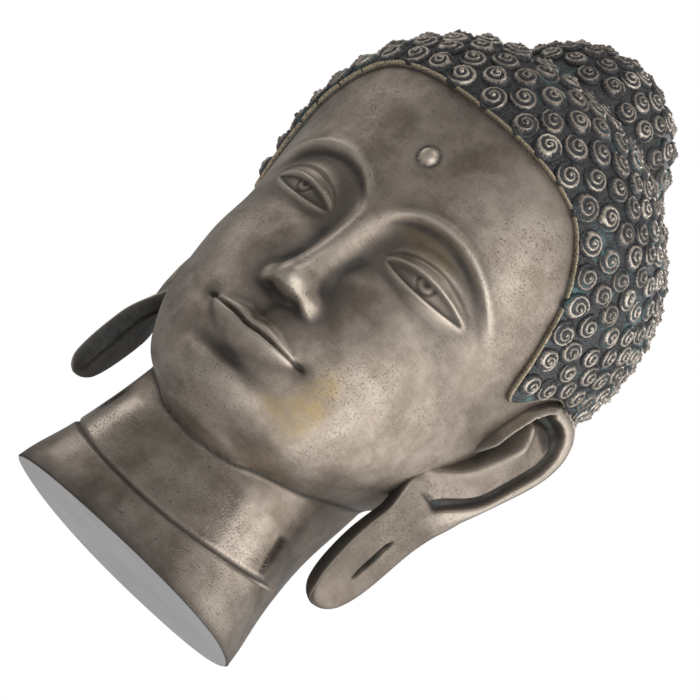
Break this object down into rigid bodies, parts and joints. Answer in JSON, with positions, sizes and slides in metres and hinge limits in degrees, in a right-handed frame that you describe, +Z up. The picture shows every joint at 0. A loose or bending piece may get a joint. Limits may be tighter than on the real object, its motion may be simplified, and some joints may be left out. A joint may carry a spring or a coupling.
{
  "type": "statue head",
  "caption": "Serene statue head with a cap of snail curls, a crown knot, long pierced ear lobes and a neck cut flat to stand on.",
  "frame": {"origin": "on the flat neck cut, under the upright axis of the head", "axes": "+Z up the neck to the crown knot, -Y the way the face looks, +X the figure's left"},
  "size_m": [0.1676, 0.1759, 0.2789],
  "materials": {
    "bronze_resin": "satin cold-cast bronze, dark in the recesses with blue-green and olive patina"
  },
  "bodies": {
    "root": {"buddha_head": "bronze_resin"}
  },
  "joints": []
}
